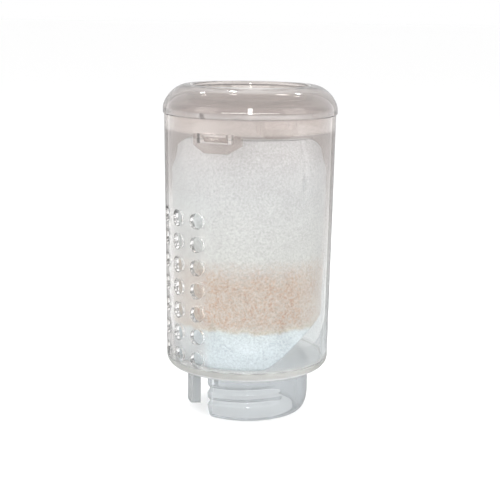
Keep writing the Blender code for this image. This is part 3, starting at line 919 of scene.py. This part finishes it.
def make_lid():
    """The lid: turned, with its skirt cut back between the tabs, and the noses joined on."""
    lid = spun("clear_lid", lid_profile())
    combine(lid, skirt_cutter())
    combine(lid, nose_block(), "UNION")
    finish_piece(lid, SHARP_ANGLE)
    return lid


# The bag


def bag_points(share, angle):
    """Where a point of the bag lies, from its place up the side and round it.

    The front panel follows the cup's wall. The back comes forward to the seam at the top.
    """
    height = BAG_HEIGHT * (0.5 - 0.5 * np.cos(np.pi * share))
    below_top = BAG_HEIGHT - height
    radius = BAG_RADIUS + height * CUP_SLOPE
    radius = radius - BAG_TOP_SETBACK * smooth_step(1.0 - below_top / BAG_SETBACK_HEIGHT)
    foot = 1.0 - np.clip(height / BAG_FOOT_HEIGHT, 0.0, 1.0)
    radius = radius - BAG_FOOT_INSET * (1.0 - np.sqrt(1.0 - foot * foot))
    x = radius * np.cos(angle)
    y = radius * np.sin(angle)
    crown = np.clip(below_top / BAG_CROWN_HEIGHT, 0.0, 1.0)
    open_share = np.sqrt(1.0 - (1.0 - crown) ** 2)
    front = -np.sqrt(np.clip(radius * radius - x * x, 0.0, None))
    seam = np.minimum(front + BAG_SEAM_THICKNESS, -front)
    y = np.where(y > 0.0, y * open_share + seam * (1.0 - open_share), y)
    fold = BAG_FOLD_DEPTH * (1.0 - np.clip(height / BAG_FOLD_HEIGHT, 0.0, 1.0))
    limit = radius - fold
    over = np.clip(x - limit, 0.0, None)
    x = x - over * smooth_step(over / BAG_FOLD_BLEND)
    corner = np.clip((np.abs(x) - (BAG_RADIUS - BAG_CORNER_WIDTH)) / BAG_CORNER_WIDTH, 0.0, 1.0)
    drop = BAG_CORNER_DROP * corner**2 * smooth_step(1.0 - below_top / BAG_CROWN_HEIGHT)
    return np.stack([x, y, BAG_BASE_Z + height - drop], axis=1)


def crease_depth(points):
    """How far the creases sink the surface at each point."""
    bearing = np.degrees(np.arctan2(points[:, 0], -points[:, 1]))
    along = np.radians(bearing) * BAG_RADIUS
    height = points[:, 2]
    depth = np.zeros(len(points))
    for (first_bearing, first_z), (second_bearing, second_z), width, sink in CREASES:
        first = np.array([math.radians(first_bearing) * BAG_RADIUS, first_z])
        second = np.array([math.radians(second_bearing) * BAG_RADIUS, second_z])
        route = second - first
        share = ((along - first[0]) * route[0] + (height - first[1]) * route[1]) / route.dot(route)
        inside = np.clip(share, 0.0, 1.0)
        off = np.hypot(along - first[0] - inside * route[0], height - first[1] - inside * route[1])
        depth += sink * np.exp(-((off / width) ** 2)) * (1.0 - CREASE_FADE * inside)
    return depth


def fine_tube(name):
    """A closed cylinder 1 m wide and high, whose side is cut into many levels."""
    deselect()
    bpy.ops.mesh.primitive_cylinder_add(
        vertices=BAG_SIDES, radius=1.0, depth=1.0, location=(0.0, 0.0, 0.0), end_fill_type="TRIFAN"
    )
    tube = bpy.context.object
    tube.name = name
    bpy.context.tool_settings.mesh_select_mode = (False, True, False)
    bpy.ops.object.mode_set(mode="EDIT")
    bpy.ops.mesh.select_all(action="DESELECT")
    bpy.ops.object.mode_set(mode="OBJECT")
    for edge in tube.data.edges:
        start, end = (tube.data.vertices[i].co.z for i in edge.vertices)
        edge.select = abs(start - end) > 0.5
    bpy.ops.object.mode_set(mode="EDIT")
    bpy.ops.mesh.subdivide(number_cuts=BAG_LEVELS)
    bpy.ops.object.mode_set(mode="OBJECT")
    bpy.context.tool_settings.mesh_select_mode = (True, False, False)
    return tube


def make_bag():
    """The stuffed fleece pouch: a tube drawn into the cup, then creased and crumpled."""
    bag = fine_tube("fleece_bag")
    count = len(bag.data.vertices)
    points = np.zeros(count * 3)
    bag.data.vertices.foreach_get("co", points)
    points = points.reshape(-1, 3)
    across = np.clip(np.hypot(points[:, 0], points[:, 1]), 0.0, 1.0)
    placed = bag_points(points[:, 2] + 0.5, np.arctan2(points[:, 1], points[:, 0]))
    middle = placed.copy()
    middle[:, :2] = 0.0
    placed = middle + (placed - middle) * across[:, None]
    inward = -placed * [1.0, 1.0, 0.0]
    inward /= np.maximum(np.linalg.norm(inward, axis=1), NEAR_ZERO)[:, None]
    crumple = np.array([crumpled(Vector(point)) for point in placed])
    side = smooth_step((placed[:, 2] - BAG_BASE_Z) / DENT_START) * (across > 0.5)
    placed += inward * ((crease_depth(placed) + crumple) * side)[:, None]
    bag.data.vertices.foreach_set("co", placed.ravel())
    bag.data.update()
    finish_piece(bag, FLEECE_SHARP_ANGLE)
    return bag


def crumpled(point):
    """How far soft dents push the fleece in: long swells, and shorter puckers over the resin."""
    swell = 0.5 + 0.5 * noise.noise(point / SWELL_SIZE)
    pucker = 0.5 + 0.5 * noise.noise(point / PUCKER_SIZE + Vector(PUCKER_SHIFT))
    return SWELL_DEPTH * swell + PUCKER_DEPTH * pucker


# Materials


def parts_of_place(tree):
    """Where a point lies on the object, as outputs named X, Y and Z."""
    place = node(tree, "ShaderNodeTexCoord")
    split = node(tree, "ShaderNodeSeparateXYZ", links={"Vector": place.outputs["Object"]})
    return split.outputs


def remap(tree, value, low, high, to_low=0.0, to_high=1.0):
    """Turns the range from low to high into another range, and cuts off what is outside it."""
    made = node(
        tree,
        "ShaderNodeMapRange",
        values={"From Min": low, "From Max": high, "To Min": to_low, "To Max": to_high},
        links={"Value": value},
    )
    return made.outputs["Result"]


def maths(tree, operation, first, second):
    """One sum of two values, each an output or a number."""
    made = node(tree, "ShaderNodeMath", {"operation": operation})
    for socket, value in ((0, first), (1, second)):
        if isinstance(value, float):
            made.inputs[socket].default_value = value
        else:
            tree.links.new(value, made.inputs[socket])
    return made.outputs["Value"]


def blend(tree, kind, share, first, second):
    """Mixes two colours, each an output or a hex colour, by a share that is an output or a number."""
    mix = node(tree, "ShaderNodeMix", {"data_type": "RGBA", "blend_type": kind})
    for socket, value in ((0, share), (6, first), (7, second)):
        if isinstance(value, str):
            mix.inputs[socket].default_value = linear(value)
        elif isinstance(value, float):
            mix.inputs[socket].default_value = value
        else:
            tree.links.new(value, mix.inputs[socket])
    return mix.outputs[2]


def grain(tree, pattern):
    """One of the noise patterns. It is about 0.5 on average."""
    size, detail, roughness, shift = pattern
    place = node(tree, "ShaderNodeTexCoord")
    moved = node(
        tree,
        "ShaderNodeVectorMath",
        {"operation": "ADD"},
        values={1: (shift, shift, shift)},
        links={0: place.outputs["Object"]},
    )
    spots = node(
        tree,
        "ShaderNodeTexNoise",
        values={"Scale": 1.0 / size, "Detail": detail, "Roughness": roughness},
        links={"Vector": moved.outputs[0]},
    )
    return spots.outputs[0]


def height_ramp(tree, stops, height):
    """A colour that changes with the height: pairs of a height in metres and a hex colour."""
    low = stops[0][0]
    high = stops[-1][0]
    ramp = node(tree, "ShaderNodeValToRGB", links={"Fac": remap(tree, height, low, high)})
    elements = ramp.color_ramp.elements
    elements[0].color = linear(stops[0][1])
    elements[1].color = linear(stops[-1][1])
    for level, colour in stops[1:-1]:
        stop = elements.new((level - low) / (high - low))
        stop.color = linear(colour)
    return ramp.outputs["Color"]


def add_relief(tree, shader, height, strength, depth):
    """Raises and sinks the surface for the light by a pattern, as deep as the depth in metres."""
    bump = node(
        tree,
        "ShaderNodeBump",
        values={"Strength": strength, "Distance": depth},
        links={"Height": height},
    )
    tree.links.new(bump.outputs["Normal"], shader.inputs["Normal"])


def distance_from_axis(tree, slope):
    """How far a point lies from Z, less what a wall with this slope gains on its way up."""
    place = parts_of_place(tree)
    flat = node(tree, "ShaderNodeCombineXYZ", links={"X": place["X"], "Y": place["Y"]})
    reach = node(tree, "ShaderNodeVectorMath", {"operation": "LENGTH"}, links={0: flat.outputs["Vector"]})
    return maths(tree, "SUBTRACT", reach.outputs["Value"], maths(tree, "MULTIPLY", place["Z"], slope))


def beside_inlets(tree, place):
    """1 in the stretch of the left side that has the inlet holes, and 0 elsewhere."""
    near = INLET_SIDE_X - INLET_SIDE_BLEND
    far = INLET_SIDE_X + INLET_SIDE_BLEND
    beside = remap(tree, place["X"], near, far, 1.0, 0.0)
    low = INLET_TOP_Z - INLET_TOP_BLEND
    high = INLET_TOP_Z + INLET_TOP_BLEND
    lower = remap(tree, place["Z"], low, high, 1.0, 0.0)
    return maths(tree, "MULTIPLY", beside, lower)


def clear_styrene(name, coat):
    """Clear styrene, injection moulded: glossy, with faint flow waves that bend what is behind."""
    plastic = bpy.data.materials.new(name)
    plastic.use_nodes = True
    tree = plastic.node_tree
    shader = tree.nodes["Principled BSDF"]
    shader.inputs["IOR"].default_value = STYRENE_IOR
    shader.inputs["Coat Weight"].default_value = coat
    shader.inputs["Coat Roughness"].default_value = COAT_ROUGHNESS
    add_relief(tree, shader, grain(tree, FLOW_NOISE), FLOW_STRENGTH, FLOW_DEPTH)
    let_lamps_through(tree, shader)
    return plastic


def let_lamps_through(tree, shader):
    """Rays from lamps pass a clear wall straight, so that what is behind it is lit."""
    path = node(tree, "ShaderNodeLightPath")
    clear = node(tree, "ShaderNodeBsdfTransparent", values={"Color": linear(LAMPLIGHT_LEFT)})
    mix = node(
        tree,
        "ShaderNodeMixShader",
        links={0: path.outputs["Is Shadow Ray"], 1: shader.outputs[0], 2: clear.outputs[0]},
    )
    output = tree.nodes["Material Output"]
    tree.links.new(mix.outputs[0], output.inputs["Surface"])


def outer_skin(tree, z):
    """1 in the outer skin of the cup's wall and neck, and 0 inside, so that no wall is tinted twice."""
    neck_skin = NECK_RADIUS - NECK_EDGE_WIDTH + NECK_SKIN_INSET
    wall_skin = BASE_RADIUS - CUP_WALL / 2 - BASE_Z * CUP_SLOPE
    half = BASE_BLEND / 2
    skin = remap(tree, z, BASE_Z - half, BASE_Z + half, neck_skin, wall_skin)
    over = maths(tree, "SUBTRACT", distance_from_axis(tree, CUP_SLOPE), skin)
    return remap(tree, over, 0.0, SKIN_BLEND)


def cup_plastic():
    """The cup's styrene: a grey cast in its outer skin, which paints reflection and shade by height, a
    hazy floor edge and a matt tongue.
    """
    plastic = clear_styrene("clear_styrene_cup", CUP_COAT)
    tree = plastic.node_tree
    shader = tree.nodes["Principled BSDF"]
    place = parts_of_place(tree)
    z = place["Z"]
    left = remap(tree, place["X"], TONGUE_SIDE_X, TONGUE_SIDE_X + SKIN_BLEND, 1.0, 0.0)
    below = remap(tree, z, BASE_Z - BASE_BLEND, BASE_Z + BASE_BLEND, 1.0, 0.0)
    tongue = maths(tree, "MULTIPLY", left, below)
    outer = outer_skin(tree, z)
    upper = remap(tree, z, FLOOR_Z, FLOOR_Z + INLET_FOOT_BLEND)
    inlets = maths(tree, "MULTIPLY", beside_inlets(tree, place), upper)
    # The cast by height is painted reflection and shade of the surroundings, warmer and darker towards
    # the top and cool at the neck
    cast = height_ramp(tree, CUP_CAST_WITH_PAINTED_REFLECTION, z)
    cast = blend(tree, "MIX", inlets, cast, INLET_CAST)
    cast = blend(tree, "MIX", outer, "#ffffff", cast)
    cast = blend(tree, "MIX", tongue, cast, TONGUE_CAST)
    tree.links.new(cast, shader.inputs["Base Color"])
    haze = height_ramp(tree, CUP_CLEARNESS, z)
    haze = blend(tree, "MIX", tongue, haze, TONGUE_CLEARNESS)
    tree.links.new(haze, shader.inputs["Transmission Weight"])
    finish = height_ramp(tree, CUP_ROUGHNESS, z)
    finish = blend(tree, "MIX", tongue, finish, TONGUE_ROUGHNESS)
    finish = blend(tree, "MIX", inlets, finish, INLET_ROUGHNESS)
    tree.links.new(finish, shader.inputs["Roughness"])
    return plastic


def lid_plastic():
    """The lid's styrene: glossier, with a warm grey cast in its shoulder."""
    plastic = clear_styrene("clear_styrene_lid", LID_COAT)
    tree = plastic.node_tree
    shader = tree.nodes["Principled BSDF"]
    shader.inputs["Roughness"].default_value = LID_ROUGHNESS
    shader.inputs["Transmission Weight"].default_value = LID_CLEARNESS
    across = distance_from_axis(tree, 0.0)
    shoulder = remap(tree, across, RECESS_RADIUS + LID_LAND, LID_RADIUS - LID_WALL / 2)
    cast = blend(tree, "MIX", shoulder, LID_INNER_CAST, LID_CAST)
    plug = remap(tree, parts_of_place(tree)["Z"], RIM_Z - PLUG_BLEND, RIM_Z, 1.0, 0.0)
    cast = blend(tree, "MIX", plug, cast, PLUG_CAST)
    tree.links.new(cast, shader.inputs["Base Color"])
    return plastic


def white_fleece():
    """Nonwoven polyester fleece: matt, mottled by its fibres, and beige where resin lies behind it."""
    cloth = bpy.data.materials.new("nonwoven_polyester_fleece")
    cloth.use_nodes = True
    tree = cloth.node_tree
    shader = tree.nodes["Principled BSDF"]
    shader.inputs["Roughness"].default_value = FLEECE_ROUGHNESS
    shader.inputs["Specular IOR Level"].default_value = FLEECE_SHINE
    place = parts_of_place(tree)
    sway = remap(tree, grain(tree, SWAY_NOISE), *SWAY_RANGE, -RESIN_SWAY, RESIN_SWAY)
    level = maths(tree, "ADD", place["Z"], sway)
    resin = height_ramp(tree, RESIN_SHARE, level)
    colour = height_ramp(tree, FLEECE_COLOURS, level)
    colour = with_resin(tree, place, resin, colour)
    by_inlets = beside_inlets(tree, place)
    colour = blend(tree, "MULTIPLY", by_inlets, colour, INLET_SIDE_FLEECE)
    greyed_resin = maths(tree, "MULTIPLY", maths(tree, "MULTIPLY", by_inlets, resin), INLET_SIDE_RESIN_SHARE)
    colour = blend(tree, "MIX", greyed_resin, colour, INLET_SIDE_RESIN)
    for pattern, shade in ((FIBRE_NOISE, FIBRE_SHADE), (CLOUD_NOISE, CLOUD_SHADE)):
        mottle = remap(tree, grain(tree, pattern), *MOTTLE_RANGE)
        colour = blend(tree, "MULTIPLY", 1.0, colour, blend(tree, "MIX", mottle, shade, "#ffffff"))
    tree.links.new(colour, shader.inputs["Base Color"])
    add_relief(tree, shader, grain(tree, FIBRE_NOISE), FIBRE_STRENGTH, FIBRE_DEPTH)
    return cloth


def with_resin(tree, place, resin, colour):
    """Adds the beads that show through the fleece, and turns the resin paler towards the bag's sides."""
    beads = remap(tree, grain(tree, BEAD_NOISE), *BEAD_RANGE)
    heaps = remap(tree, grain(tree, HEAP_NOISE), *HEAP_RANGE, LEAST_HEAP, 1.0)
    shown = maths(tree, "MULTIPLY", maths(tree, "MULTIPLY", beads, heaps), resin)
    colour = blend(tree, "MIX", shown, colour, BEAD_COLOUR)
    aside = maths(tree, "ABSOLUTE", place["X"], 0.0)
    paled = remap(tree, aside, *SIDE_PALING_RANGE, 0.0, RESIN_SIDE_PALING)
    return blend(tree, "MIX", maths(tree, "MULTIPLY", paled, resin), colour, PALE_SIDE_RESIN_COLOUR)


def dress(piece, material, node_name):
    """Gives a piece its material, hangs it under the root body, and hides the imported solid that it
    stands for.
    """
    piece.data.materials.clear()
    piece.data.materials.append(material)
    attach(piece, "root")
    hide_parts(node_name)


add_camera()
light_world()
add_floor()
add_cards()
for lamp in LAMPS:
    add_softbox(*lamp)
cup = make_cup()
lid = make_lid()
bag = make_bag()
dress(cup, cup_plastic(), "cup")
dress(lid, lid_plastic(), "lid")
dress(bag, white_fleece(), "resin_bag")
bpy.context.scene.view_settings.view_transform = "Standard"
